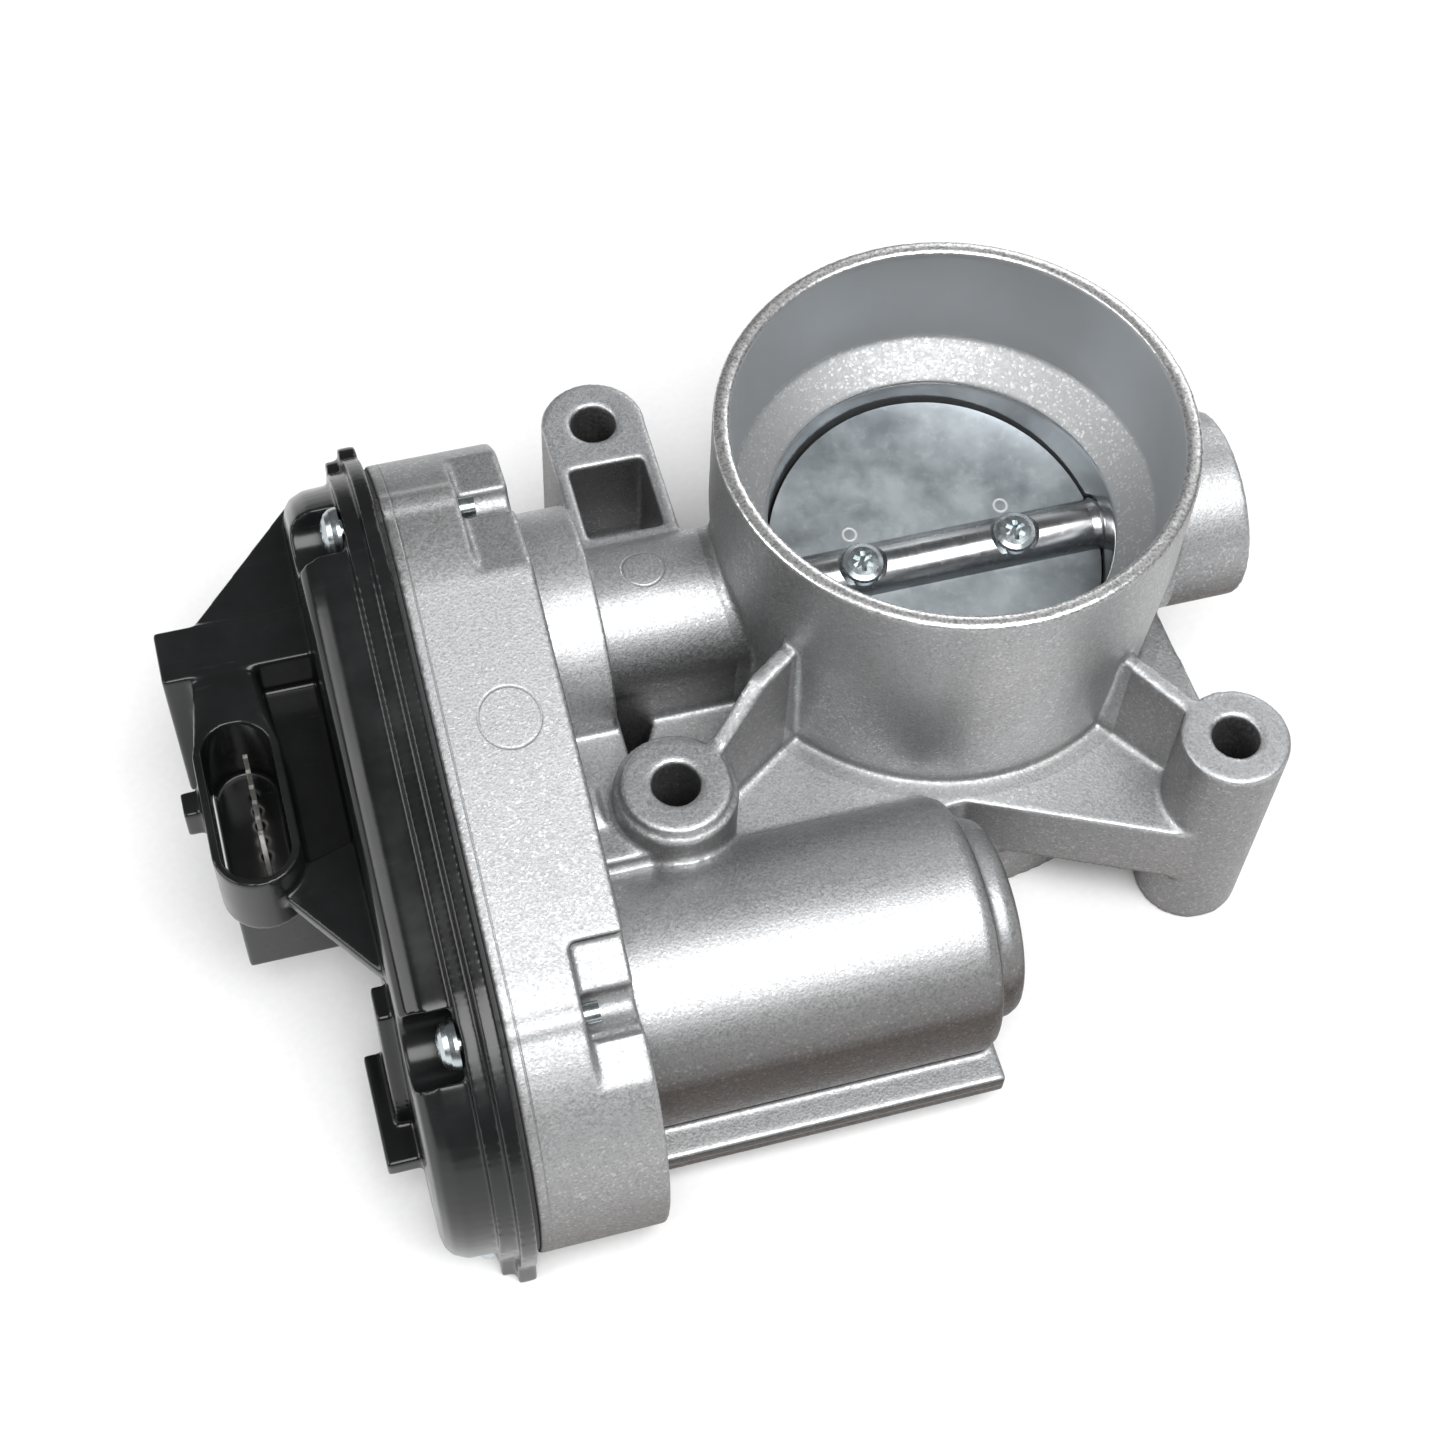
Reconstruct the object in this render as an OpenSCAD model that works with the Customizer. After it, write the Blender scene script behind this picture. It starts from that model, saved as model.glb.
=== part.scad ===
// Motor-driven throttle body with an intake hose spigot, four mounting bosses,
// a geared drive in a side case, and a plastic cover with a connector.
// Frame: Z = 0 is the face that bolts to the engine, the bore runs along +Z,
// and the throttle shaft runs along X with the gear case on the -X side.

/* [Bore and spigot] */
// Radius of the throttle bore
bore_r = 26; // [25:0.5:26.5]
// Outer radius of the intake hose spigot
spigot_r = 35; // [34.5:0.5:36]
// Wall thickness at the rim of the spigot
spigot_wall = 2.5; // [1.8:0.1:2.8]
// Height of the spigot rim above the engine face
spigot_top = 66.7; // [65:0.1:72]

/* [Throttle] */
// Radius of the shaft across the bore
shaft_r = 4.3; // [4.1:0.1:4.4]
// Thickness of the throttle plate
plate_t = 2; // [1.6:0.1:2.2]
// Angle of the plate from flat at rest, in degrees
rest_tilt = 12.5; // [11:0.5:13]
// Angle of the plate from flat when it closes, in degrees
closed_tilt = 7.5; // [6:0.5:8]

/* [Mounting] */
// Height of the bolt bosses above the engine face
boss_top = 41; // [40:0.5:42]
// Radius of the bolt bosses
boss_r = 8; // [7.5:0.25:8.5]
// Radius of the bolt holes
bolt_hole_r = 3.5; // [3.1:0.1:3.8]
// Radius of the ring that seals on the engine face
ring_r = 39.3; // [38:0.1:40]

/* [Drive] */
// Outer radius of the motor barrel
barrel_r = 19; // [18.8:0.1:19.2]
// Play taken off each side of a gear tooth, in modules
tooth_play = 0.06; // [0.04:0.01:0.08]

/* [Hidden] */
$fn = 96;
eps = 0.01;

// Gaps between pieces
seat_gap = 0.02;
running_gap = 0.05;
tuck = 0.03;

// Gear train in the YZ plane: pinion on the motor, idler, and a toothed sector on the shaft
shaft_z = 34;
shaft_at = [0, shaft_z];
motor_at = [-53, shaft_z - 15.5];
motor_module = 0.8;
sector_module = 1;
pinion_teeth = 13;
wheel_teeth = 49;
small_teeth = 12;
sector_teeth = 50;
sector_cut = [-13, 2];
motor_stage = motor_module * (pinion_teeth + wheel_teeth) / 2;
sector_stage = sector_module * (small_teeth + sector_teeth) / 2;
drive_span = norm(motor_at - shaft_at);
drive_angle = atan2(motor_at[1] - shaft_at[1], motor_at[0] - shaft_at[0]) + 360;
idler_swing = acos((sector_stage ^ 2 + drive_span ^ 2 - motor_stage ^ 2) / (2 * sector_stage * drive_span));
idler_angle = drive_angle - idler_swing;
idler_at = shaft_at + sector_stage * [cos(idler_angle), sin(idler_angle)];
motor_angle = atan2(motor_at[1] - idler_at[1], motor_at[0] - idler_at[0]);

// Spigot, ledge and bore, as radii and heights
spigot_in_r = spigot_r - spigot_wall;
ledge_z = spigot_top - 17.7;
ledge_r = spigot_in_r - 1;
bore_top = ledge_z - 4.6;
spigot_base_r = spigot_r - 1.6;
spigot_straight_z = 49.2;
outlet_r = bore_r + 1;
outlet_deep = 6;

// Flange and bosses
flange_z = 11;
flange_top = 24;
boss_a = [-45.6, 32.5];
boss_b = [-49.6, -32.8];
boss_c = [30.5, -44.9];
boss_d = [34, 31];
bosses = [boss_a, boss_b, boss_c, boss_d];
arm_half = 7.9;
pocket = [11.6, 13.2];
pocket_y = 11.4;
pocket_deep = 19;
rib_t = 2.6;
rib_top = spigot_straight_z - 0.2;

// Tubes around the shaft, as planes along X
tube_r = 11.75;
collar_r = 19;
collar_x = -54.4;
spring_room_r = 15.5;
spring_room_x = -56.6;
free_boss_r = 14.5;
free_boss_x = 45.4;
journal_r = 4.5;
journal_x = 25.6;
bearing_r = 6.5;
seal_r = 8;
plug_r = 9;
shaft_end = 41;
shaft_tip_r = 4;

// Throttle plate and its screws
plate_r = bore_r - 0.3;
plate_screw_x = 12.1;
plate_screw_r = 1.5;
plate_head_r = 3.3;
spot_r = 3.8;
spot_h = 3.3;

// Gear case, as planes along X and radii around the shaft and the motor
case_back = -63.5;
case_floor = -66.5;
case_open = -82;
case_r = [30, 32];
room_r = [26.4, 27.4];
case_bottom = 0.5;
room_bottom = 4.5;
post_r = 3.9;
inner_post_r = 5;
notch_x = -71.2;
screw_at = [[7.2, 60.1], [-65.8, 43.9], [-77.3, 4.9], [13.5, 10.6], [-25, 4.5]];
screw_r = 1.75;
screw_tip_r = 1.5;
screw_end = -68.9;
screw_head_r = 3.6;

// Motor, as planes along X
can_r = 15;
can_wall = 1.3;
can_front = -66.4;
can_back = -14.2;
barrel_end = -10.6;
barrel_floor = -12.4;
cap_r = 15;
cap_end = -5.9;
motor_shaft_r = 2;
bush_r = 3.4;
front_bush_x = [-69.3, -64.6];
rear_bush_x = [-14.6, -10.9];
plate_x = [-68, case_floor];
magnet_x = [-58, -24];
magnet_r = [10.7, 13.6];
core_x = [-56, -26];
core_r = 10.2;
winding_r = 8.6;
commutator_x = [-63, -58.6];
commutator_r = 4.4;
brush_r = [4.8, 9.5];
terminal_angles = [225, 270];
terminal_r = 10.5;
ear_r = 19.5;
ear_angle = -15;

// Gear planes along X
sector_x = [-74.5, -69.5];
wheel_x = [-79, -76];
pinion_x = [-79.8, -75.2];
hub_x = [-84.4, -66.9];
hub_r = 8.6;
insert_x = [-79.6, -78];
insert_r = 6.6;
idler_hub_r = 3.7;
idler_pin_r = 2;

// Return spring around its guide
coil_r = 12.4;
wire_r = 0.8;
coil_turns = 4;
coil_x = [-58.2, -65.4];
guide_r = 10.6;

// Cover, as planes along X
gasket_t = 0.6;
lip_back = case_open - gasket_t;
lip_x = -85;
step_x = -88;
dome_x = -95;
lip_out = 1.5;
dome_in = 1.5;
cover_wall = 2.2;
scallop_r = 5;

// Connector tower and socket on the cover
tower_x = [-115.6, -93.5];
tower_y = [-32.5, 8];
tower_z = [14, 44];
socket_x = -108.3;
socket_y = -23.4;
socket_half = 12.6;
socket_r = 4.8;
socket_top = 45.6;
socket_floor = 32;
socket_wall = 1.3;
pin_pitch = 2.54;
pin_count = 6;
pin_half = 0.32;
pin_top = 43;
pin_x = -107.3;
pin_z = 27;
board_x = [-91.6, -90];

// A flat outline drawn in the YZ plane and carried along X between two planes
module along_x(x0, x1) {
    translate([x0, 0, 0]) rotate([90, 0, 90]) linear_extrude(x1 - x0) children();
}

// A round bar along X
module rod_x(x0, x1, at, r) {
    along_x(x0, x1) translate(at) circle(r);
}

// A ring along X
module ring_x(x0, x1, at, inner, outer) {
    along_x(x0, x1) translate(at) difference() {
        circle(outer);
        circle(inner);
    }
}

// A shape turned about an axis along X, drawn as [radius, x]
module turned_x(at) {
    translate([0, at[0], at[1]]) rotate([0, 90, 0]) rotate_extrude() children();
}

// The places of the shaft's parts when the plate is turned to its rest
module at_rest() {
    translate([0, 0, shaft_z]) rotate([rest_tilt, 0, 0]) children();
}

// Two circles and the band between them, whose corners are tucked just inside the circles
module link(a, ra, b, rb) {
    way = b - a;
    turn = atan2(way[1], way[0]);
    lean = acos((ra - rb) / norm(way));
    side = [[cos(turn + lean), sin(turn + lean)], [cos(turn - lean), sin(turn - lean)]];
    translate(a) circle(ra);
    translate(b) circle(rb);
    polygon([
        a + (ra - tuck) * side[0],
        a + (ra - tuck) * side[1],
        b + (rb - tuck) * side[1],
        b + (rb - tuck) * side[0]
    ]);
}

// Outline around the shaft and the motor, cut flat at the bottom
module drive_outline(grow, bottom) {
    intersection() {
        link(shaft_at, case_r[0] + grow, motor_at, case_r[1] + grow);
        translate([-100, bottom]) square([160, 100]);
    }
}

// Inner outline of the case, which leaves a post around each cover screw
module room_outline(shrink, post, bottom) {
    difference() {
        intersection() {
            link(shaft_at, room_r[0] - shrink, motor_at, room_r[1] - shrink);
            translate([-100, bottom]) square([160, 100]);
        }
        for (p = screw_at) translate(p) circle(post);
    }
}

// Half the angle of an involute tooth at radius r
function involute(a) = tan(a) * 180 / PI - a;
function flank(r, teeth, size) =
    let(base = teeth * size / 2 * cos(20))
    (90 - 2 * tooth_play * 180 / PI) / teeth + involute(20) - involute(acos(min(1, base / r)));

// Outline of spur teeth from first to last, with tooth 0 centred on the angle at
module gear_outline(teeth, size, tip, at, first, last) {
    pitch = teeth * size / 2;
    base = pitch * cos(20);
    root = pitch - 1.25 * size;
    top = pitch + tip * size;
    low = max(base, root + 0.05 * size);
    steps = [root, low, (low + pitch) / 2, pitch, top];
    rim = [for (i = [first : last]) let(mid = at + i * 360 / teeth) each concat(
        [for (r = steps) let(a = mid - flank(r, teeth, size)) r * [cos(a), sin(a)]],
        [for (k = [len(steps) - 1 : -1 : 0])
            let(r = steps[k], a = mid + flank(r, teeth, size)) r * [cos(a), sin(a)]]
    )];
    polygon(last - first + 1 < teeth ? concat(rim, [[0, 0]]) : rim);
}

// A rib standing on a line from a to b, with its top given as [distance, height] points
module rib(a, b, thick, foot, profile) {
    way = b - a;
    translate([a[0], a[1], 0]) rotate([0, 0, atan2(way[1], way[0])])
        translate([0, thick / 2, 0]) rotate([90, 0, 0]) linear_extrude(thick)
            polygon(concat([[profile[len(profile) - 1][0], foot], [profile[0][0], foot]], profile));
}

// Housing

module bore_tower() {
    rotate_extrude() polygon([
        [0, 0], [ring_r, 0], [ring_r, flange_z + 1.3], [spigot_base_r, flange_z + 1.3],
        [spigot_base_r, flange_top - 2], [spigot_r, spigot_straight_z],
        [spigot_r, spigot_top - 0.3], [spigot_r - 0.3, spigot_top], [0, spigot_top]
    ]);
}

module air_way() {
    rotate_extrude() polygon([
        [0, -1], [outlet_r, -1], [outlet_r, outlet_deep], [bore_r, outlet_deep + 1], [bore_r, bore_top],
        [ledge_r, ledge_z], [spigot_in_r, spigot_top - 0.3], [spigot_in_r + 0.3, spigot_top],
        [spigot_in_r + 0.3, spigot_top + 1], [0, spigot_top + 1]
    ]);
}

module flange() {
    translate([0, 0, flange_z]) linear_extrude(flange_top - flange_z) {
        link([0, 0], spigot_r + 1, boss_b, boss_r);
        link([-1.2, -0.8], spigot_r - 0.4, boss_c - [1.2, 0.8], boss_r - 1.5);
        link([0, 0], spigot_r + 0.3, boss_d, boss_r - 0.6);
    }
}

module boss_columns() {
    for (b = bosses) translate([b[0], b[1], 0]) cylinder(h = boss_top, r = boss_r);
    translate([boss_b[0], boss_b[1], 0]) cylinder(h = boss_top - 1.5, r = boss_r + 1);
    translate([boss_a[0] - arm_half, 0, flange_top - 6])
        cube([2 * arm_half, boss_a[1], boss_top - flange_top + 6]);
    foot = flange_top - 1;
    rib(boss_b, [0, 0], rib_t, foot, [[5, boss_top], [9, boss_top], [17, rib_top - 1], [30, rib_top]]);
    rib(boss_c, [0, 0], rib_t, foot, [[5, boss_top - 0.4], [28, boss_top + 2]]);
    rib(boss_d, [0, 0], rib_t, foot, [[5, boss_top - 1], [16, boss_top - 1]]);
}

module shaft_tubes() {
    rod_x(case_back - 1.5, -20, shaft_at, tube_r);
    rod_x(case_back - 1.2, collar_x, shaft_at, collar_r);
    rod_x(20, free_boss_x, shaft_at, free_boss_r);
    // web below the tube on the gear side
    translate([case_back - 0.9, -tube_r + 0.3, flange_z + 4])
        cube([40, 2 * tube_r - 0.6, shaft_z - flange_z - 4]);
    translate([28, -9, flange_z + 0.7]) cube([8, 18, 14]);
    translate([case_back - 0.8, -40, flange_z + 2]) cube([10.3, 24, 22.5]);
}

module motor_barrel() {
    intersection() {
        union() {
            turned_x(motor_at) polygon([
                [0, case_back - 1], [barrel_r, case_back - 1], [barrel_r, barrel_end - 2.2],
                [barrel_r - 0.7, barrel_end - 0.7], [barrel_r - 2.2, barrel_end], [cap_r, barrel_end],
                [cap_r, cap_end - 2.4], [cap_r - 0.8, cap_end - 0.8], [cap_r - 2.4, cap_end], [0, cap_end]
            ]);
            translate([case_back - 1, -74.9, 5.4]) cube([barrel_end - case_back + 1.3, 22, 4.1]);
        }
        translate([-90, -100, case_bottom]) cube([100, 100, 80]);
    }
}

module gear_case() {
    along_x(case_open, case_back) drive_outline(0, case_bottom);
    for (p = screw_at) rod_x(case_open, notch_x, p, post_r);
    rod_x(case_back - 0.6, case_back + 3.4, idler_at, 7.4);
}

// The places where two of the cover screws come out behind their posts
module screw_notches() {
    for (p = [screw_at[0], screw_at[1]]) rod_x(notch_x, case_back + 0.1, p, 2.6);
    along_x(notch_x + 0.02, case_back + 0.2) translate(shaft_at) rotate(-12) translate([-16, 27.4]) square([32, 6]);
    // recess above the barrel, with a pad in its lower half
    along_x(notch_x + 0.02, case_back + 0.2) translate(motor_at) rotate(26.7) {
        translate([-3.8, 28.3]) square([13.4, 8]);
        translate([-14, 30.3]) square([11, 8]);
    }
}

module shaft_bores() {
    rod_x(-45, 40, shaft_at, journal_r + running_gap);
    rod_x(30.5, 42.1, shaft_at, bearing_r);
    rod_x(42, free_boss_x + 1, shaft_at, plug_r);
    rod_x(-52.6, -40, shaft_at, bearing_r);
    rod_x(spring_room_x - 0.5, -52.4, shaft_at, seal_r);
    rod_x(case_floor - 1, spring_room_x, shaft_at, spring_room_r);
    translate([coil_x[0] - 1.2, -1.2, shaft_z]) cube([2.4, 2.4, 17.2]);
}

function ear_at(s) = motor_at + s * ear_r * [cos(ear_angle), sin(ear_angle)];

module motor_bores() {
    rod_x(case_floor - 1, barrel_floor, motor_at, can_r + 0.2);
    rod_x(case_open - 1, case_floor, motor_at, can_r + 0.9);
    rod_x(barrel_floor - 1, barrel_floor + 4.6, motor_at, 6);
    for (s = [-1, 1]) rod_x(case_floor - 1, case_floor + 2.4, ear_at(s), 1.4 + seat_gap);
}

module throttle_housing() color("silver") difference() {
    union() {
        bore_tower();
        flange();
        boss_columns();
        shaft_tubes();
        motor_barrel();
        gear_case();
    }
    air_way();
    for (b = bosses) translate([b[0], b[1], -1]) cylinder(h = boss_top + 2, r = bolt_hole_r);
    translate([boss_a[0] - pocket[0] / 2, pocket_y, boss_top - pocket_deep])
        cube([pocket[0], pocket[1], pocket_deep + 1]);
    shaft_bores();
    motor_bores();
    along_x(case_open - 1, case_floor - 0.03) room_outline(0, inner_post_r, room_bottom);
    rod_x(case_floor - 1, case_back + 3, idler_at, idler_pin_r + seat_gap);
    for (p = screw_at) rod_x(case_open - 1, screw_end + 0.3, p, screw_r + seat_gap);
    screw_notches();
}

// Cover

module cover_shell() {
    along_x(lip_x, lip_back) drive_outline(lip_out, 0.2);
    along_x(step_x + 0.4, lip_x) drive_outline(-0.2, case_bottom + 0.4);
    // rounded dome, as outlines that shrink towards its face
    hull() for (k = [[-86.6, 0], [-91.6, 0.2], [-93.6, 1.1], [-94.6, 2.4], [dome_x + 0.03, 4.4]])
        along_x(k[0] - 0.03, k[0]) drive_outline(-dome_in - k[1], case_bottom + 1.4 + 1.3 * k[1]);
    // lugs at the far side and at the bottom of the lip
    along_x(lip_x - 0.3, lip_back) translate([25.4, 48.4]) circle(4.4);
    along_x(step_x + 0.6, lip_x) translate([24.2, 47.6]) circle(4.2);
    along_x(lip_x - 0.3, lip_back) translate([-84.1, 0.2]) square([6, 7]);
    along_x(step_x + 0.6, lip_x) translate([-82.6, 0.6]) square([6, 7]);
}

module tower() {
    translate([tower_x[0] + 2.6, tower_y[0], tower_z[0]]) cube([
        tower_x[1] - tower_x[0] - 2.6, tower_y[1] - tower_y[0], tower_z[1] - tower_z[0] - 7.4
    ]);
    // upper part of the tower, beside the socket
    translate([tower_x[0] - 1, -1, tower_z[0]])
        cube([tower_x[1] - tower_x[0] + 1, tower_y[1] + 1, tower_z[1] - tower_z[0]]);
    translate([0, 0, 33]) linear_extrude(socket_top - 33) socket_outline(socket_wall);
    translate([tower_x[0] - 1.4, socket_y + 0.4, 38]) cube([4, 4, 5.6]);
    // arched back of the socket, which leans on the upper part
    hull() {
        translate([socket_x, socket_y + socket_half - 4, 36]) cylinder(h = socket_top - 36, r = socket_r + 1);
        translate([socket_x + 0.4, 0, 36]) cylinder(h = tower_z[1] - 37.4, r = socket_r - 0.4);
    }
    // gussets on both sides of the tower
    translate([0, 0, tower_z[1] - 3]) linear_extrude(2.4)
        polygon([[-112, 7], [-93.6, 7], [-93.6, 27]]);
    translate([0, 0, 38]) linear_extrude(2.4)
        polygon([[-108, -34], [-94.4, -30], [-94.4, -53]]);
    translate([-100, -68.6, 12.4]) cube([6.4, 17.5, 3.4]);
    along_x(-97.4, -93.6) polygon([[-64, 12.4], [-51, 12.4], [-51, 36], [-56, 36]]);
}

// The socket in plan: a stadium along Y
module socket_outline(grow) {
    side = socket_half - socket_r;
    for (s = [-1, 1]) translate([socket_x, socket_y + s * side]) circle(socket_r + grow);
    translate([socket_x - socket_r - grow, socket_y - side]) square([2 * (socket_r + grow), 2 * side]);
}

function pin_y(i) = socket_y + 2 + (i - (pin_count - 1) / 2) * pin_pitch;

// Bent pins from the board to the socket, with a gap all round
module pins(gap) {
    wide = pin_half + gap;
    for (i = [0 : pin_count - 1]) {
        translate([pin_x - wide, pin_y(i) - wide, pin_z - wide])
            cube([board_x[0] - pin_x + wide, 2 * wide, 2 * wide]);
        translate([pin_x - wide, pin_y(i) - wide, pin_z - wide])
            cube([2 * wide, 2 * wide, pin_top - pin_z + wide]);
    }
}

module gear_cover() color("black") difference() {
    union() {
        difference() {
            union() {
                cover_shell();
                tower();
            }
            for (p = screw_at) rod_x(dome_x - 30, step_x, p, scallop_r);
            // inside of the cover and of the tower
            along_x(dome_x + cover_wall, lip_back + 1)
                room_outline(2.1, scallop_r + cover_wall, room_bottom + 1.2);
            translate([pin_x - 3, socket_y - 8, pin_z - 4]) cube([16, 20, 6]);
        }
        // pads that carry the board
        for (p = [[8, 42], [-8, 26], [-31, 36]]) rod_x(dome_x + 1, board_x[0], p, 1.8);
    }
    translate([0, 0, socket_floor]) linear_extrude(socket_top) socket_outline(0);
    pins(0.06);
    for (p = screw_at) rod_x(step_x - 1, lip_back + 1, p, screw_r + 0.4);
}

module cover_gasket() color("dimgray") difference() {
    along_x(lip_back + seat_gap, case_open - seat_gap) difference() {
        union() {
            drive_outline(-0.4, case_bottom + 0.4);
            for (p = screw_at) translate(p) circle(post_r - 0.3);
        }
        room_outline(-0.3, inner_post_r - 0.3, room_bottom - 0.3);
    }
    for (p = screw_at) rod_x(lip_back - 1, case_open + 1, p, screw_r + 0.4);
}

module cover_screws() color("lightgray") for (p = screw_at) {
    difference() {
        turned_x(p) polygon([
            [0, screw_end], [screw_tip_r, screw_end], [screw_tip_r, screw_end - 2.4],
            [screw_r, screw_end - 3],
            [screw_r, step_x], [screw_head_r, step_x], [screw_head_r, step_x - 0.5],
            [screw_head_r - 0.2, step_x - 1.2], [screw_head_r - 0.7, step_x - 1.9],
            [screw_head_r - 1.5, step_x - 2.4], [screw_head_r - 2.5, step_x - 2.7], [0, step_x - 2.8]
        ]);
        for (a = [0, 60, 120]) translate([step_x - 3, p[0], p[1]]) rotate([a, 0, 0])
            cube([3, 3.4, 0.8], center = true);
    }
}

// Throttle

module throttle_shaft() color("gainsboro") difference() {
    union() {
        at_rest() rotate([0, 90, 0]) rotate_extrude() polygon([
            [0, -78], [shaft_tip_r, -78], [shaft_tip_r, -66], [journal_r, -65.5],
            [journal_r, -journal_x], [shaft_r, -journal_x + 1.2], [shaft_r, journal_x - 1.2],
            [journal_r, journal_x], [journal_r, shaft_end - 0.5],
            [journal_r - 0.5, shaft_end], [0, shaft_end]
        ]);
        at_rest() along_x(-79.8, -77) shaft_tenon(0);
    }
    at_rest() cube([2 * journal_x + 0.8, 12, plate_t + 0.1], center = true);
    at_rest() for (s = [-1, 1]) translate([s * plate_screw_x, 0, 0]) {
        translate([0, 0, spot_h]) cylinder(h = 3, r = spot_r);
        translate([0, 0, -6]) cylinder(h = 12, r = plate_screw_r + seat_gap);
    }
}

// The flatted end of the shaft, which the steel insert of the gear is riveted on
module shaft_tenon(gap) {
    intersection() {
        circle(3.4 + gap);
        square([12, 4.6 + 2 * gap], center = true);
    }
}

module throttle_plate() color("silver") translate([0, 0, shaft_z]) rotate([rest_tilt - closed_tilt, 0, 0])
    difference() {
        intersection() {
            cylinder(h = 40, r = plate_r, center = true);
            rotate([closed_tilt, 0, 0]) cube([80, 80, plate_t], center = true);
        }
        rotate([closed_tilt, 0, 0]) for (s = [-1, 1])
            translate([s * plate_screw_x, 0, 0]) cylinder(h = 8, r = plate_screw_r + 0.2, center = true);
    }

module plate_screws() color("lightgray") at_rest() for (s = [-1, 1]) translate([s * plate_screw_x, 0, 0])
    difference() {
        rotate_extrude() polygon([
            [0, -4.6], [plate_screw_r, -4.6], [plate_screw_r, spot_h], [plate_head_r, spot_h],
            [plate_head_r, spot_h + 1], [plate_head_r - 0.25, spot_h + 1.4],
            [plate_head_r - 0.9, spot_h + 1.7], [0, spot_h + 1.9]
        ]);
        for (a = [0, 60, 120]) translate([0, 0, spot_h + 2]) rotate([0, 0, a + 20])
            cube([3.2, 0.75, 2.2], center = true);
    }

module gear_side_bearing() color("gray")
    ring_x(-52.3, -40.1, shaft_at, journal_r + running_gap, bearing_r - seat_gap);

module free_end_bearing() color("gray")
    ring_x(30.6, 41.2, shaft_at, journal_r + running_gap, bearing_r - seat_gap);

module shaft_seal() color("dimgray") difference() {
    rod_x(spring_room_x + 0.1, -52.5, shaft_at, seal_r - seat_gap);
    rod_x(-58, -50, shaft_at, journal_r + running_gap);
    ring_x(-57, -54.4, shaft_at, 5.4, 7);
}

module shaft_end_plug() color("silver") difference() {
    rod_x(42.2, 44.8, shaft_at, plug_r - seat_gap);
    rod_x(43.2, 46, shaft_at, plug_r - 1.2);
}

// A round wire along a path whose tangent stays close to the YZ plane
module wire(path, r, sides) {
    n = len(path);
    way = [for (i = [0 : n - 1]) let(d = path[min(i + 1, n - 1)] - path[max(i - 1, 0)]) d / norm(d)];
    turn = [for (k = [0 : sides - 1]) k * 360 / sides];
    ring = [for (i = [0 : n - 1]) let(
        u0 = cross(way[i], [1, 0, 0]), u = u0 / norm(u0), v = cross(way[i], u)
    ) each [for (a = turn) path[i] + r * (cos(a) * u + sin(a) * v)]];
    side = [for (i = [0 : n - 2], k = [0 : sides - 1]) let(j = (k + 1) % sides)
        [i * sides + k, i * sides + j, (i + 1) * sides + j, (i + 1) * sides + k]];
    ends = [[for (k = [sides - 1 : -1 : 0]) k], [for (k = [0 : sides - 1]) (n - 1) * sides + k]];
    polyhedron(ring, concat(side, ends), convexity = 10);
}

module return_spring() color("gray") {
    steps = coil_turns * 32;
    coil = [for (i = [0 : steps]) let(t = i / steps, a = 90 + t * coil_turns * 360)
        [coil_x[0] + t * (coil_x[1] - coil_x[0]), coil_r * cos(a), shaft_z + coil_r * sin(a)]];
    out = [[coil_x[0], 0.5, shaft_z + 16.6], [coil_x[0], 0.4, shaft_z + 14]];
    in = [[coil_x[1], -0.4, shaft_z + 10.8], [coil_x[1], -0.5, shaft_z + 8.6]];
    wire(concat(out, coil, in), wire_r, 10);
}

module spring_guide() color("ivory") difference() {
    ring_x(-66.2, -57.8, shaft_at, journal_r + running_gap, guide_r);
    ring_x(-64, -57, shaft_at, 6.6, 9);
    translate([-67, -1.7, shaft_z + 7.6]) cube([2.9, 2.4, 6]);
}

module throttle_gear() color("ivory") difference() {
    union() {
        rod_x(hub_x[0], hub_x[1], shaft_at, hub_r);
        along_x(sector_x[0], sector_x[1]) translate(shaft_at)
            gear_outline(sector_teeth, sector_module, 0.8, idler_angle, sector_cut[0], sector_cut[1]);
    }
    rod_x(insert_x[1] - 1, hub_x[1] + 1, shaft_at, shaft_tip_r + seat_gap);
    rod_x(hub_x[0] - 1, insert_x[1], shaft_at, insert_r + seat_gap);
    // lightening pockets in the sector web
    for (a = [idler_angle - 72, idler_angle - 44, idler_angle - 16])
        rod_x(sector_x[0] - 1, sector_x[0] + 3.4, shaft_at + 16.5 * [cos(a), sin(a)], 3.6);
}

module gear_insert() color("gray") at_rest() along_x(insert_x[0], insert_x[1]) difference() {
    circle(insert_r);
    shaft_tenon(seat_gap);
}

module sensor_magnet() color("dimgray")
    ring_x(-84, -80.2, shaft_at, 2.2, insert_r - 0.1);

module intermediate_gear() color("ivory") difference() {
    union() {
        rod_x(-80, -66.9, idler_at, idler_hub_r);
        along_x(-76.1, sector_x[1]) translate(idler_at) gear_outline(
            small_teeth, sector_module, 0.9, idler_angle + 180 + 180 / small_teeth, 0, small_teeth - 1);
        along_x(wheel_x[0], wheel_x[1]) translate(idler_at) gear_outline(
            wheel_teeth, motor_module, 0.8, motor_angle, 0, wheel_teeth - 1);
    }
    rod_x(-82, -66, idler_at, idler_pin_r + running_gap);
    for (a = [30 : 60 : 330])
        rod_x(wheel_x[0] - 1, wheel_x[1] + 1, idler_at + 12.6 * [cos(a), sin(a)], 3.2);
}

module intermediate_gear_pin() color("gray") rod_x(-80.6, case_back + 2.9, idler_at, idler_pin_r);

// Motor

module motor_can() color("gainsboro") difference() {
    union() {
        rod_x(can_front, can_back, motor_at, can_r);
        rod_x(can_back - 1, -9.6, motor_at, 5.2);
    }
    rod_x(can_front - 1, can_back - can_wall, motor_at, can_r - can_wall);
    rod_x(can_back - 3, rear_bush_x[1] + 0.1, motor_at, bush_r + seat_gap);
}

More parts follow.
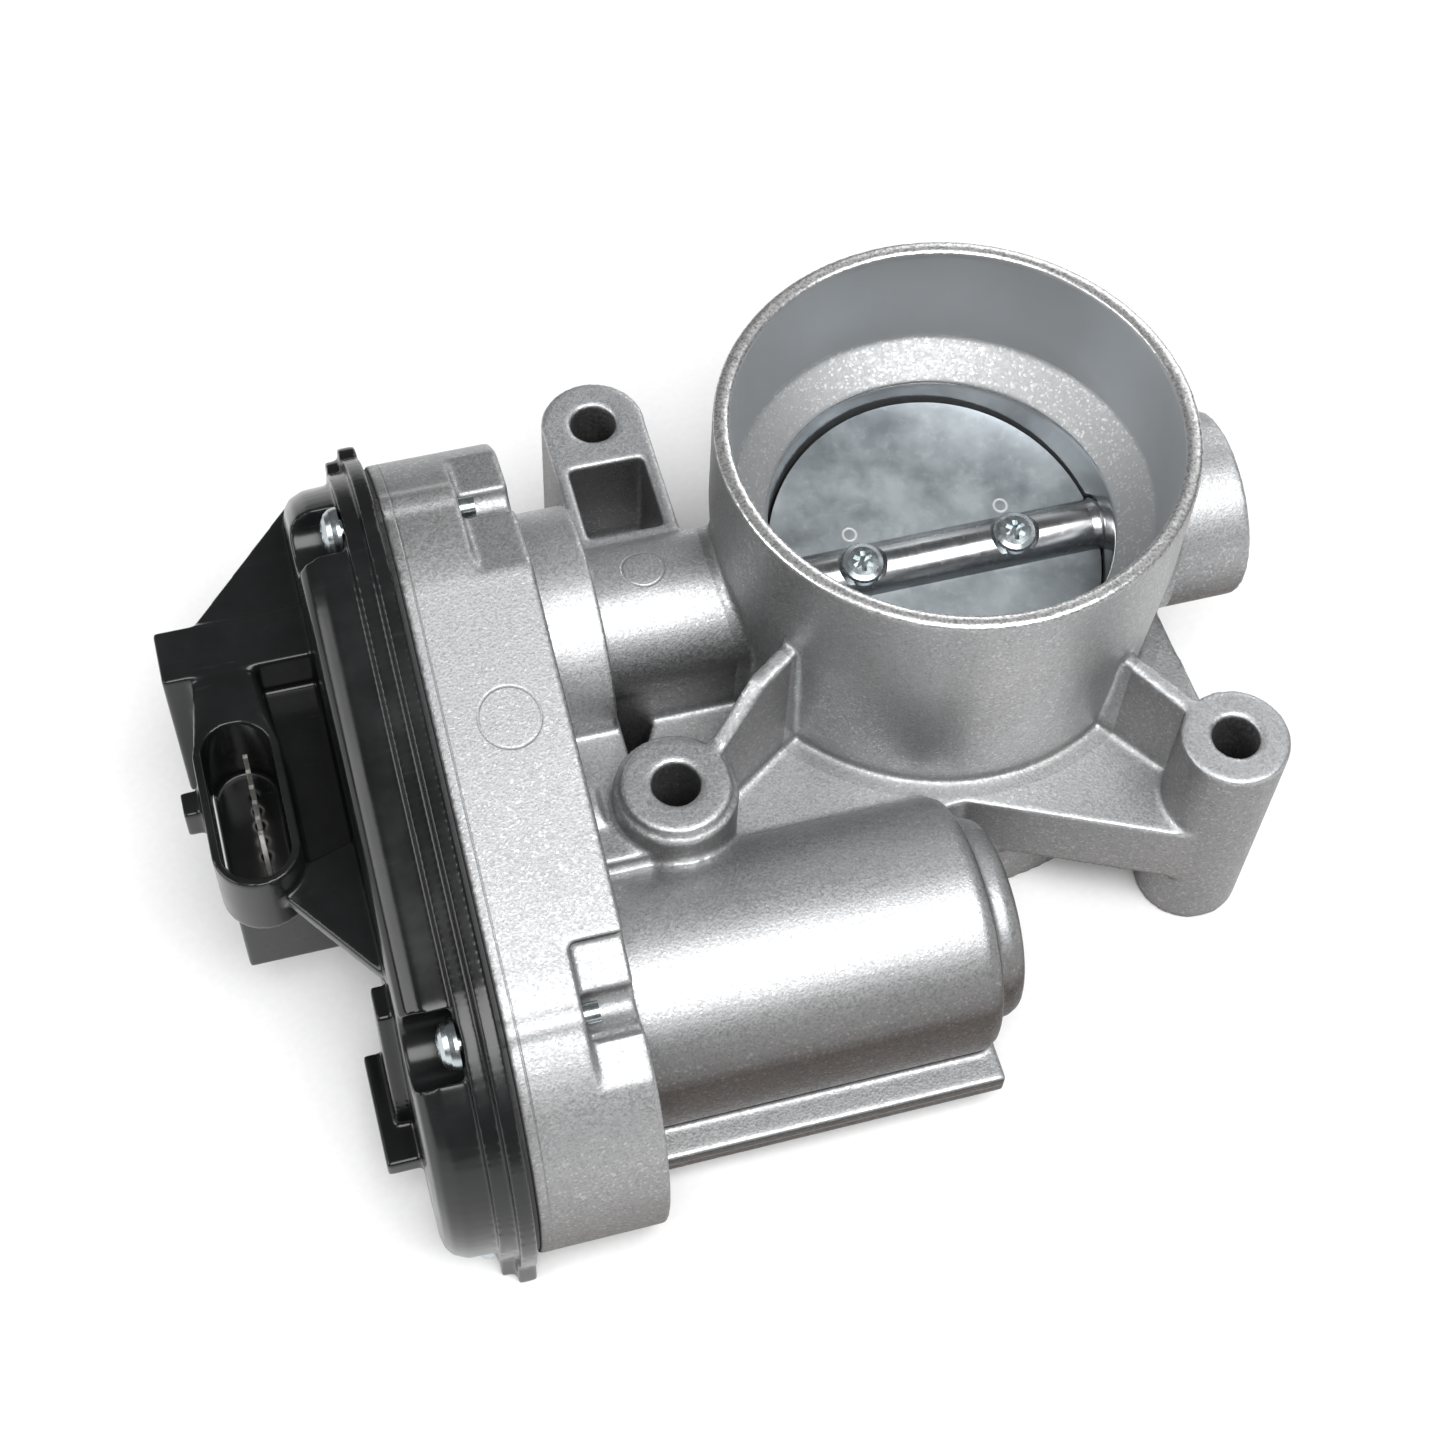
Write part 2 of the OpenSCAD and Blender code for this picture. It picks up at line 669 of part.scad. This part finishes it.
module motor_magnets() color("dimgray") along_x(magnet_x[0], magnet_x[1]) translate(motor_at) difference() {
    circle(magnet_r[1]);
    circle(magnet_r[0]);
    square([30, 9], center = true);
}

module motor_armature() color("gray") along_x(core_x[0], core_x[1]) translate(motor_at) difference() {
    circle(core_r);
    circle(motor_shaft_r + seat_gap);
    for (a = [0 : 60 : 300]) rotate(a) {
        translate([7.4, 0]) circle(1.7);
        translate([7.4, -0.6]) square([5, 1.2]);
    }
}

module motor_windings() color("orange") {
    ring_x(core_x[1] + seat_gap, core_x[1] + 4, motor_at, 3, winding_r);
    ring_x(core_x[0] - 2.2, core_x[0] - seat_gap, motor_at, 4.6, winding_r);
    for (a = [0 : 60 : 300])
        rod_x(core_x[0], core_x[1], motor_at + 7.4 * [cos(a), sin(a)], 1.6);
}

module motor_commutator() color("orange") along_x(commutator_x[0], commutator_x[1]) translate(motor_at)
    difference() {
        circle(commutator_r);
        circle(motor_shaft_r + seat_gap);
        for (a = [30 : 60 : 330]) rotate(a) translate([3.6, -0.15]) square([2, 0.3]);
    }

module motor_shaft() color("gainsboro") rod_x(pinion_x[0], -11.2, motor_at, motor_shaft_r);

module motor_pinion() color("goldenrod") along_x(pinion_x[0], pinion_x[1]) translate(motor_at)
    difference() {
    gap_angle = motor_angle + 180;
    gear_outline(pinion_teeth, motor_module, 0.9, gap_angle + 180 / pinion_teeth, 0, pinion_teeth - 1);
    circle(motor_shaft_r + seat_gap);
}

module motor_front_bush() color("goldenrod")
    ring_x(front_bush_x[0], front_bush_x[1], motor_at, motor_shaft_r + running_gap, bush_r);

module motor_rear_bush() color("goldenrod")
    ring_x(rear_bush_x[0], rear_bush_x[1], motor_at, motor_shaft_r + running_gap, bush_r);

module motor_cushion() color("dimgray") ring_x(can_back + 0.05, barrel_floor - 0.05, motor_at, 8, 13);

function terminal_at(a) = motor_at + terminal_r * [cos(a), sin(a)];

module terminal_slots(x0, x1, wide, thick) {
    for (a = terminal_angles)
        along_x(x0, x1) translate(terminal_at(a)) square([wide, thick], center = true);
}

module motor_front_plate() color("lightgray") difference() {
    along_x(plate_x[0], plate_x[1] - seat_gap) {
        translate(motor_at) circle(can_r + 0.6);
        link(ear_at(-1), 4, ear_at(1), 4.01);
    }
    rod_x(-70, -60, motor_at, bush_r + seat_gap);
    for (s = [-1, 1]) rod_x(-70, -60, ear_at(s), 1.7);
    terminal_slots(-70, -60, 6.6, 2.4);
}

module motor_brush_holder() color("black") difference() {
    union() {
        rod_x(can_front + 0.1, -64.2, motor_at, can_r - can_wall - 0.1);
        for (s = [-1, 1]) translate([-64.4, motor_at[0] - 2.6, motor_at[1] + s * 8.8 - 3.3])
            cube([5.6, 5.2, 6.6]);
    }
    rod_x(-70, -60, motor_at, bush_r + 0.3);
    brushes(0.08);
    terminal_slots(-70, -60, 5 + 0.1, 0.8 + 0.1);
}

module brushes(gap) {
    long = brush_r[1] - brush_r[0];
    for (s = [-1, 1]) translate([-61, motor_at[0], motor_at[1] + s * (brush_r[0] + long / 2)])
        cube([3.6 + 2 * gap, 3.4 + 2 * gap, long + (gap > 0 ? 2 : 0)], center = true);
}

module motor_brushes() color("dimgray") brushes(0);

module motor_terminals() color("goldenrod") terminal_slots(-86.4, -63.6, 5, 0.8);

module motor_contacts() color("goldenrod") difference() {
    terminal_slots(-92.7, -83.4, 7, 3.2);
    terminal_slots(-87.4, -80, 5.4, 1.2);
}

module motor_screws() color("lightgray") for (s = [-1, 1]) {
    rod_x(plate_x[0] - 2, plate_x[0] - seat_gap, ear_at(s), 2.8);
    rod_x(plate_x[0] - 0.5, case_floor + 2.2, ear_at(s), 1.4);
}

// Electrics in the cover

module sensor_board() color("green") along_x(board_x[0] + seat_gap, board_x[1])
    link(shaft_at, 13, [socket_y - 1, shaft_z - 3], 11);

module sensor_chip() color("dimgray")
    along_x(board_x[1] + seat_gap, board_x[1] + 1.6) translate(shaft_at) square([6.4, 5.2], center = true);

module connector_pins() color("gold") pins(0);

throttle_housing();
gear_cover();
cover_gasket();
cover_screws();
throttle_shaft();
throttle_plate();
plate_screws();
gear_side_bearing();
free_end_bearing();
shaft_seal();
shaft_end_plug();
return_spring();
spring_guide();
throttle_gear();
gear_insert();
sensor_magnet();
intermediate_gear();
intermediate_gear_pin();
motor_can();
motor_magnets();
motor_armature();
motor_windings();
motor_commutator();
motor_shaft();
motor_pinion();
motor_front_bush();
motor_rear_bush();
motor_cushion();
motor_front_plate();
motor_brush_holder();
motor_brushes();
motor_terminals();
motor_screws();
motor_contacts();
sensor_board();
sensor_chip();
connector_pins();
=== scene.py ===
"""Looks of a motor-driven throttle body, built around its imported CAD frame."""

from math import radians

import bpy
from mathutils import Matrix, Vector


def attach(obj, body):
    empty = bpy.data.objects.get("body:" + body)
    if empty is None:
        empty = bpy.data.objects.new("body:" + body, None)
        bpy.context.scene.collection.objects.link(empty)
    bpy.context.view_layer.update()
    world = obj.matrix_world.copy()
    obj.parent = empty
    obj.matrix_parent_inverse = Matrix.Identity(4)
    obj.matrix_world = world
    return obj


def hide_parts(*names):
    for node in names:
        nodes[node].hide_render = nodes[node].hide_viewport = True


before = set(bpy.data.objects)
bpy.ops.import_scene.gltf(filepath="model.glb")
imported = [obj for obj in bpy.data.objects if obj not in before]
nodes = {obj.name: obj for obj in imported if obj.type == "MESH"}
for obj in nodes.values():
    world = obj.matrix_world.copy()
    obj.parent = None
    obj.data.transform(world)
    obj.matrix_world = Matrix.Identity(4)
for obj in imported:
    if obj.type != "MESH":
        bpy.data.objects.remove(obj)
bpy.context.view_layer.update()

MM = 0.001

# ---------------------------------------------------------------- places on the housing

# Radii and heights that part the machined zones of the air way
BORE_R = 26.9 * MM
LEDGE_R = 32.1 * MM
WALL_R = 33.3 * MM
BORE_TOP = 44.5 * MM
LEDGE_TOP = 49.15 * MM
RIM_FOOT = 66.3 * MM
RIM_R = 36 * MM

# Outside of the spigot, back plane of the gear case, and the box round the motor barrel, which part the
# zones of painted shade on the housing
SPIGOT_R = 36.5 * MM
SPIGOT_FOOT = 24 * MM
CASE_BACK = -63.4 * MM
BARREL_FRONT = -45 * MM
BARREL_TOP = 38 * MM
BARREL_END = -2 * MM

# Ejector marks as (x, y, radius, lowest z), and the parting lines of the case and of the foot rail
TUBE_MARK = (-45.8 * MM, 1 * MM, 3.1 * MM, 40 * MM)
CASE_MARK = (-71.6 * MM, -27 * MM, 4.3 * MM, 50 * MM)
CASE_LINE = -80.3 * MM
CASE_LINE_FOOT = 20 * MM
RAIL_LINE = 7.4 * MM
RAIL_FRONT = -72 * MM
RAIL_START = -62 * MM

# Stake marks on the throttle plate, behind its two screws
STAKE_MARKS = ((-12.0 * MM, 5.8 * MM), (12.2 * MM, 5.6 * MM))
STAKE_R = 1.0 * MM

# How far a zone's edge fades
FADE = 0.06 * MM


# ---------------------------------------------------------------- materials


class Build:
    """A node material under construction, with short calls for the nodes it needs."""

    def __init__(self, name):
        self.mat = bpy.data.materials.new(name)
        self.mat.use_nodes = True
        self.tree = self.mat.node_tree
        self.bsdf = self.tree.nodes["Principled BSDF"]
        self.coord = self.tree.nodes.new("ShaderNodeTexCoord").outputs["Object"]

    def node(self, kind, inputs=(), **settings):
        n = self.tree.nodes.new(kind)
        for key, value in settings.items():
            setattr(n, key, value)
        for key, value in dict(inputs).items():
            self.feed(n.inputs[key], value)
        return n

    def feed(self, socket, value):
        if isinstance(value, bpy.types.NodeSocket):
            self.tree.links.new(value, socket)
        else:
            socket.default_value = value

    def set(self, **values):
        for key, value in values.items():
            self.feed(self.bsdf.inputs[key.replace("_", " ")], value)

    def noise(self, scale, detail=2.0, rough=0.5, coord=None):
        n = self.node(
            "ShaderNodeTexNoise",
            {"Vector": coord or self.coord, "Scale": scale, "Detail": detail, "Roughness": rough},
        )
        return n.outputs["Fac"]

    def flecks(self, scale):
        """A flat random level in each of many small cells."""
        n = self.node("ShaderNodeTexVoronoi", {"Vector": self.coord, "Scale": scale})
        return self.node("ShaderNodeSeparateColor", {"Color": n.outputs["Color"]}).outputs[0]

    def place(self):
        """The X, Y and Z of the shaded point, in the part's frame."""
        axes = self.node("ShaderNodeSeparateXYZ", {"Vector": self.coord}).outputs
        return axes[0], axes[1], axes[2]

    def stretch(self, scale):
        n = self.node("ShaderNodeMapping", {"Vector": self.coord, "Scale": scale})
        return n.outputs["Vector"]

    def span(self, value, low, high, to_low=0.0, to_high=1.0):
        n = self.node(
            "ShaderNodeMapRange",
            {"Value": value, "From Min": low, "From Max": high, "To Min": to_low, "To Max": to_high},
        )
        return n.outputs["Result"]

    def math(self, operation, a, b=0.0):
        n = self.node("ShaderNodeMath", operation=operation)
        self.feed(n.inputs[0], a)
        self.feed(n.inputs[1], b)
        return n.outputs[0]

    def mix(self, fac, a, b):
        n = self.node("ShaderNodeMix", data_type="RGBA")
        self.feed(n.inputs[0], fac)
        self.feed(n.inputs[6], a)
        self.feed(n.inputs[7], b)
        return n.outputs[2]

    def times(self, *values):
        out = values[0]
        for value in values[1:]:
            out = self.math("MULTIPLY", out, value)
        return out

    def plus(self, a, b):
        return self.math("ADD", a, b)

    def minus(self, a, b):
        return self.math("SUBTRACT", a, b)

    def length(self, a, b):
        return self.math("SQRT", self.plus(self.times(a, a), self.times(b, b)))

    def above(self, value, edge):
        return self.span(value, edge - FADE, edge + FADE)

    def below(self, value, edge):
        return self.span(value, edge - FADE, edge + FADE, 1.0, 0.0)

    def line(self, value, at, core, edge):
        """A thin line where value is at, solid to core and faded out at edge."""
        return self.span(self.math("ABSOLUTE", self.minus(value, at)), core, edge, 1.0, 0.0)

    def ring(self, x, y, cx, cy, r):
        """A thin circle round (cx, cy), seen along Z."""
        away = self.length(self.minus(x, cx), self.minus(y, cy))
        return self.line(away, r, 0.08 * MM, 0.26 * MM)

    def blend(self, fac, a, b):
        n = self.node("ShaderNodeMix", data_type="FLOAT")
        self.feed(n.inputs[0], fac)
        self.feed(n.inputs[2], a)
        self.feed(n.inputs[3], b)
        return n.outputs[0]

    def bump(self, height, strength, distance):
        n = self.node("ShaderNodeBump", {"Height": height, "Strength": strength, "Distance": distance})
        return n.outputs["Normal"]


def grey(v, tint=0.0):
    return (v * (1 - tint), v, v * (1 + tint), 1)


def housing_metal():
    """The housing: bead-blasted casting outside with painted shade and painted glints, and machined and
    satin zones inside the bore.
    """
    b = Build("cast_aluminium")
    x, y, z = b.place()
    radius = b.length(x, y)

    in_bore = b.times(b.below(radius, BORE_R), b.below(z, BORE_TOP))
    on_ledge = b.times(b.below(radius, LEDGE_R), b.above(z, BORE_TOP), b.below(z, LEDGE_TOP))
    on_wall = b.times(b.below(radius, WALL_R), b.above(z, LEDGE_TOP), b.below(z, RIM_FOOT))
    on_rim = b.times(b.above(z, RIM_FOOT), b.below(radius, RIM_R))
    at_spigot = b.times(b.below(radius, SPIGOT_R), b.above(z, SPIGOT_FOOT))
    at_case = b.below(x, CASE_BACK)
    at_barrel = b.times(
        b.above(x, CASE_BACK), b.below(y, BARREL_FRONT), b.below(z, BARREL_TOP), b.below(x, BARREL_END)
    )

    def mark(cx, cy, r, lowest):
        return b.times(b.ring(x, y, cx, cy, r), b.above(z, lowest))

    marks = b.math("MAXIMUM", mark(*TUBE_MARK), mark(*CASE_MARK))
    case_line = b.times(b.line(x, CASE_LINE, 0.06 * MM, 0.2 * MM), b.above(z, CASE_LINE_FOOT))
    rail_line = b.times(
        b.line(z, RAIL_LINE, 0.08 * MM, 0.3 * MM), b.below(y, RAIL_FRONT), b.above(x, RAIL_START)
    )
    lines = b.math("MAXIMUM", case_line, rail_line)

    grain = b.noise(2600, 1.0)
    level = b.flecks(3000)
    patch = b.noise(38, 3.0)

    # as-cast colour with painted shade: darker on the faces that turn away from the sky
    plain = b.mix(b.span(patch, 0.3, 0.7), grey(0.50, 0.02), grey(0.58, 0.01))
    plain = b.mix(b.times(b.span(grain, 0.45, 0.75), 0.5), plain, grey(0.29, 0.03))
    # painted glint: the brightest grain cells are mixed toward white, standing in for glints off the blasted
    # facets
    plain = b.mix(b.times(b.span(level, 0.86, 1.0), 0.38), plain, grey(1.0))
    normal = b.node("ShaderNodeTexCoord").outputs["Normal"]
    facing = b.node("ShaderNodeSeparateXYZ", {"Vector": normal}).outputs[2]
    # painted shade: the spigot gets one fixed amount, and the motor barrel and the back of the gear case get
    # darker amounts
    turn = b.span(facing, -0.32, 0.56)
    turn = b.blend(at_spigot, turn, 0.66)
    turn = b.blend(at_barrel, turn, b.span(facing, 0.30, 0.90))
    turn = b.blend(at_case, turn, b.span(facing, -0.25, 0.60, 0.0, 0.80))
    # the painted shade multiplies the colour, toward a warm dark that is painted shade with a painted warm
    # reflection from below
    cast = b.node("ShaderNodeMix", data_type="RGBA", blend_type="MULTIPLY")
    b.feed(cast.inputs[0], 1.0)
    b.feed(cast.inputs[6], plain)
    b.feed(cast.inputs[7], b.mix(turn, (0.155, 0.135, 0.125, 1), grey(1.0)))

    colour = cast.outputs[2]
    colour = b.mix(on_wall, colour, b.mix(b.span(patch, 0.3, 0.7), grey(0.55, 0.015), grey(0.63, 0.015)))
    colour = b.mix(on_ledge, colour, b.mix(b.span(level, 0.80, 1.0), grey(0.43, 0.02), grey(0.62)))
    colour = b.mix(in_bore, colour, grey(0.60, 0.02))
    colour = b.mix(on_rim, colour, b.mix(b.span(grain, 0.4, 0.7), grey(0.85), grey(0.42)))
    colour = b.mix(b.times(lines, 0.6), colour, grey(0.22))
    colour = b.mix(b.times(marks, 0.45), colour, grey(0.34))

    def by_zone(outside, wall, ledge, bore, rim):
        out = outside
        for mask, value in ((on_wall, wall), (on_ledge, ledge), (in_bore, bore), (on_rim, rim)):
            out = b.blend(mask, out, value)
        return out

    rough = by_zone(
        outside=b.span(level, 0, 1, 0.58, 0.40),
        wall=0.40,
        ledge=b.span(level, 0, 1, 0.66, 0.50),
        bore=0.16,
        rim=0.32,
    )
    height = by_zone(
        outside=b.plus(grain, b.times(level, 0.6)),
        wall=b.times(grain, 0.35),
        ledge=b.times(grain, 0.8),
        bore=b.times(b.noise(1.0, 3.0, coord=b.stretch((6, 6, 7000))), 0.25),
        rim=b.times(b.noise(700, 4.0, 0.65), 2.4),
    )
    height = b.minus(height, b.times(b.plus(lines, marks), 2.0))
    b.set(Base_Color=colour, Metallic=0.93, Roughness=rough, Normal=b.bump(height, 0.60, 0.05 * MM))
    return b.mat


def turned_metal(name, value=0.82, rough=0.22, lines=9000, strength=0.12):
    """A cut surface: fine rings across the bore's axis, with a soft shine."""
    b = Build(name)
    rings = b.noise(1.0, 3.0, coord=b.stretch((6, 6, lines)))
    dust = b.noise(900, 2.0)
    colour = b.mix(b.span(dust, 0.35, 0.7), grey(value, 0.01), grey(value * 0.88, 0.01))
    b.set(
        Base_Color=colour,
        Metallic=1.0,
        Roughness=b.span(dust, 0.3, 0.7, rough, rough + 0.12),
        Normal=b.bump(rings, strength, 0.02 * MM),
    )
    return b.mat


def plastic(name, value=0.006, rough=0.20, scratch=0.15):
    """Glossy black moulding with faint flow marks and a dusty bloom."""
    b = Build(name)
    bloom = b.noise(60, 4.0, 0.6)
    fine = b.noise(1800, 2.0)
    scuffs = b.noise(1.0, 4.0, 0.7, coord=b.stretch((140, 900, 200)))
    mark = b.span(scuffs, 0.60, 0.74)
    colour = b.mix(b.span(bloom, 0.4, 0.75), grey(value, 0.05), grey(value * 2.2, 0.05))
    colour = b.mix(b.times(mark, scratch), colour, grey(0.05, 0.03))
    b.set(
        Base_Color=colour,
        Roughness=b.span(bloom, 0.3, 0.8, rough - 0.05, rough + 0.14),
        IOR=1.45,
        Normal=b.bump(b.plus(b.noise(260, 2.0), b.times(fine, 0.12)), 0.10, 0.12 * MM),
    )
    return b.mat


def metal(name, colour, rough=0.25, grain=1500, strength=0.15, metallic=1.0):
    b = Build(name)
    mark = b.noise(grain, 3.0)
    cloud = b.noise(120, 3.0)
    dark = tuple(c * 0.78 for c in colour[:3]) + (1,)
    b.set(
        Base_Color=b.mix(b.span(cloud, 0.35, 0.7), colour, dark),
        Metallic=metallic,
        Roughness=b.span(mark, 0.3, 0.7, rough * 0.8, rough * 1.3),
        Normal=b.bump(mark, strength, 0.02 * MM),
    )
    return b.mat


def brushed_plate(name):
    """Throttle plate: blue-grey, brushed one way, with cloudy stains and a stake mark behind each screw."""
    b = Build(name)
    x, y, _ = b.place()
    stakes = b.math("MAXIMUM", *(b.ring(x, y, *mark, STAKE_R) for mark in STAKE_MARKS))
    lines = b.noise(1.0, 4.0, coord=b.stretch((80, 5200, 80)))
    cloud = b.noise(95, 5.0, 0.62)
    spots = b.noise(520, 3.0, 0.6)
    colour = b.mix(b.span(cloud, 0.36, 0.66), (0.26, 0.29, 0.31, 1), (0.38, 0.415, 0.435, 1))
    colour = b.mix(b.times(b.span(spots, 0.55, 0.75), 0.35), colour, (0.50, 0.53, 0.55, 1))
    colour = b.mix(b.times(stakes, 0.7), colour, grey(0.85))
    height = b.plus(lines, b.times(spots, 0.6))
    b.set(
        Base_Color=colour,
        Metallic=0.9,
        Roughness=b.span(cloud, 0.3, 0.7, 0.30, 0.46),
        Normal=b.bump(b.minus(height, b.times(stakes, 3.0)), 0.16, 0.03 * MM),
    )
    return b.mat


def rubber(name):
    b = Build(name)
    fine = b.noise(2200, 3.0)
    b.set(
        Base_Color=b.mix(b.span(fine, 0.4, 0.7), grey(0.02), grey(0.045)),
        Roughness=b.span(fine, 0.3, 0.7, 0.55, 0.75),
        Normal=b.bump(fine, 0.2, 0.03 * MM),
    )
    return b.mat


def floor_material():
    b = Build("floor_paper")
    fine = b.noise(900, 3.0)
    b.set(
        Base_Color=b.mix(b.span(fine, 0.3, 0.7), grey(0.93), grey(0.90)),
        Roughness=0.85,
        Normal=b.bump(fine, 0.08, 0.05 * MM),
    )
    return b.mat


MATS = {
    "cast": housing_metal(),
    "cap": turned_metal("pressed_cap", 0.5, 0.3, 3000, 0.2),
    "plastic": plastic("cover_plastic"),
    "inner_plastic": plastic("socket_plastic", 0.02, 0.4, 0.1),
    "steel": metal("ground_steel", (0.44, 0.45, 0.46, 1), 0.22, 900, 0.08),
    "zinc": metal("zinc_screws", (0.50, 0.55, 0.57, 1), 0.24, 1200, 0.18),
    "plate": brushed_plate("plate_brushed"),
    "rubber": rubber("seal_rubber"),
    "gear": plastic("gear_plastic", 0.4, 0.5, 0.0),
    "magnet": metal("magnet", (0.08, 0.08, 0.09, 1), 0.5, 900, 0.2),
    "copper": metal("copper", (0.83, 0.45, 0.25, 1), 0.3),
    "brass": metal("brass", (0.85, 0.68, 0.36, 1), 0.25),
    "tin": metal("tinned_pins", (0.92, 0.90, 0.86, 1), 0.35),
    "board": plastic("board_green", 0.05, 0.4, 0.0),
}

NODE_MATS = {
    "cover_gasket": "rubber", "cover_screws": "zinc", "throttle_shaft": "steel",
    "throttle_plate": "plate", "plate_screws": "zinc", "gear_side_bearing": "steel",
    "free_end_bearing": "steel", "shaft_seal": "rubber", "shaft_end_plug": "cap",
    "return_spring": "steel", "spring_guide": "gear", "throttle_gear": "gear",
    "gear_insert": "steel", "sensor_magnet": "magnet", "intermediate_gear": "gear",
    "intermediate_gear_pin": "steel", "motor_can": "zinc", "motor_magnets": "magnet",
    "motor_armature": "steel", "motor_windings": "copper", "motor_commutator": "copper",
    "motor_shaft": "steel", "motor_pinion": "brass", "motor_front_bush": "brass",
    "motor_rear_bush": "brass", "motor_cushion": "rubber", "motor_front_plate": "zinc",
    "motor_brush_holder": "inner_plastic", "motor_brushes": "magnet",
    "motor_terminals": "brass", "motor_screws": "zinc", "motor_contacts": "brass",
    "sensor_board": "board", "sensor_chip": "inner_plastic", "connector_pins": "tin",
    "throttle_housing": "cast", "gear_cover": "plastic",
}


def dress(obj, key):
    obj.data.materials.clear()
    obj.data.materials.append(MATS[key])


for node_name, key in NODE_MATS.items():
    dress(nodes[node_name], key)


# ---------------------------------------------------------------- moulded copies of CAD nodes


def soften(source, name, voxel, rounds, faces):
    """A copy of a CAD node, with its edges rounded the way a casting's or a moulding's are.

    voxel sets how far an edge rounds, with rounds of smoothing, and faces is the most triangles to keep.
    """
    obj = bpy.data.objects.new(name, source.data.copy())
    bpy.context.scene.collection.objects.link(obj)
    weld = obj.modifiers.new("weld", "WELD")
    weld.merge_threshold = 0.001 * MM
    remesh = obj.modifiers.new("remesh", "REMESH")
    remesh.mode = "VOXEL"
    remesh.voxel_size = voxel
    smooth = obj.modifiers.new("smooth", "SMOOTH")
    smooth.factor = 0.5
    smooth.iterations = rounds
    thin = obj.modifiers.new("thin", "DECIMATE")
    thin.ratio = 1.0
    bpy.context.view_layer.update()
    thin.show_viewport = False
    deps = bpy.context.evaluated_depsgraph_get()
    count = 2 * len(obj.evaluated_get(deps).data.polygons)
    thin.show_viewport = True
    thin.ratio = min(1.0, faces / count)
    deps = bpy.context.evaluated_depsgraph_get()
    mesh = bpy.data.meshes.new_from_object(obj.evaluated_get(deps))
    obj.modifiers.clear()
    obj.data = mesh
    mesh.name = name
    for p in mesh.polygons:
        p.use_smooth = True
    return obj


def moulded(node, name, key, voxel, rounds, faces):
    """Put a softened copy in place of a CAD node."""
    obj = soften(nodes[node], name, voxel, rounds, faces)
    dress(obj, key)
    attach(obj, "body")
    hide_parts(node)


moulded("throttle_housing", "housing_casting", "cast", 0.42 * MM, 8, 190_000)
moulded("gear_cover", "cover_moulding", "plastic", 0.30 * MM, 12, 170_000)


# ---------------------------------------------------------------- floor, light and camera

# Lights as (name, place in metres, size in metres, power in watts), all aimed at the part
LIGHT_AIM = (-0.02, -0.01, 0.03)
WORLD_LIGHT = 0.16
LIGHTS = (
    ("key", (0.05, -0.38, 0.78), (0.75, 0.55), 9.4),
    ("fill", (-0.65, -0.05, 0.40), (0.5, 0.4), 2.6),
    ("rim", (0.45, 0.55, 0.45), (0.5, 0.4), 1.6),
)

# Camera in millimetres of the part's frame, with its roll in degrees
CAMERA_PLACE = (-102.54, -209.68, 352.92)
CAMERA_AIM = (-39.22, -20.55, 34)
CAMERA_ROLL = 3.76
LENS = 64.13


def floor():
    bpy.ops.mesh.primitive_plane_add(size=6, location=(0, 0, 0))
    obj = bpy.context.object
    obj.name = "floor"
    obj.data.materials.append(floor_material())


def area_light(name, place, size, power):
    data = bpy.data.lights.new(name, "AREA")
    data.shape = "RECTANGLE"
    data.size, data.size_y = size
    data.energy = power
    obj = bpy.data.objects.new(name, data)
    obj.location = place
    obj.rotation_euler = (Vector(LIGHT_AIM) - Vector(place)).to_track_quat("-Z", "Y").to_euler()
    bpy.context.scene.collection.objects.link(obj)


def lights():
    world = bpy.data.worlds.new("studio")
    bpy.context.scene.world = world
    world.use_nodes = True
    back = world.node_tree.nodes["Background"]
    back.inputs["Color"].default_value = (1, 1, 1, 1)
    back.inputs["Strength"].default_value = WORLD_LIGHT
    for name, place, size, power in LIGHTS:
        area_light(name, place, size, power)


def camera():
    """The photograph's view, matched to the round edges of the spigot and the bore."""
    data = bpy.data.cameras.new("camera")
    data.sensor_width = 36
    data.lens = LENS
    data.clip_start = 0.01
    obj = bpy.data.objects.new("camera", data)
    place, aim = Vector(CAMERA_PLACE), Vector(CAMERA_AIM)
    turn = (aim - place).to_track_quat("-Z", "Y").to_matrix() @ Matrix.Rotation(radians(CAMERA_ROLL), 3, "Z")
    obj.matrix_world = Matrix.Translation(place * MM) @ turn.to_4x4()
    bpy.context.scene.collection.objects.link(obj)
    bpy.context.scene.camera = obj


floor()
lights()
camera()

bpy.context.scene.view_settings.view_transform = "Standard"
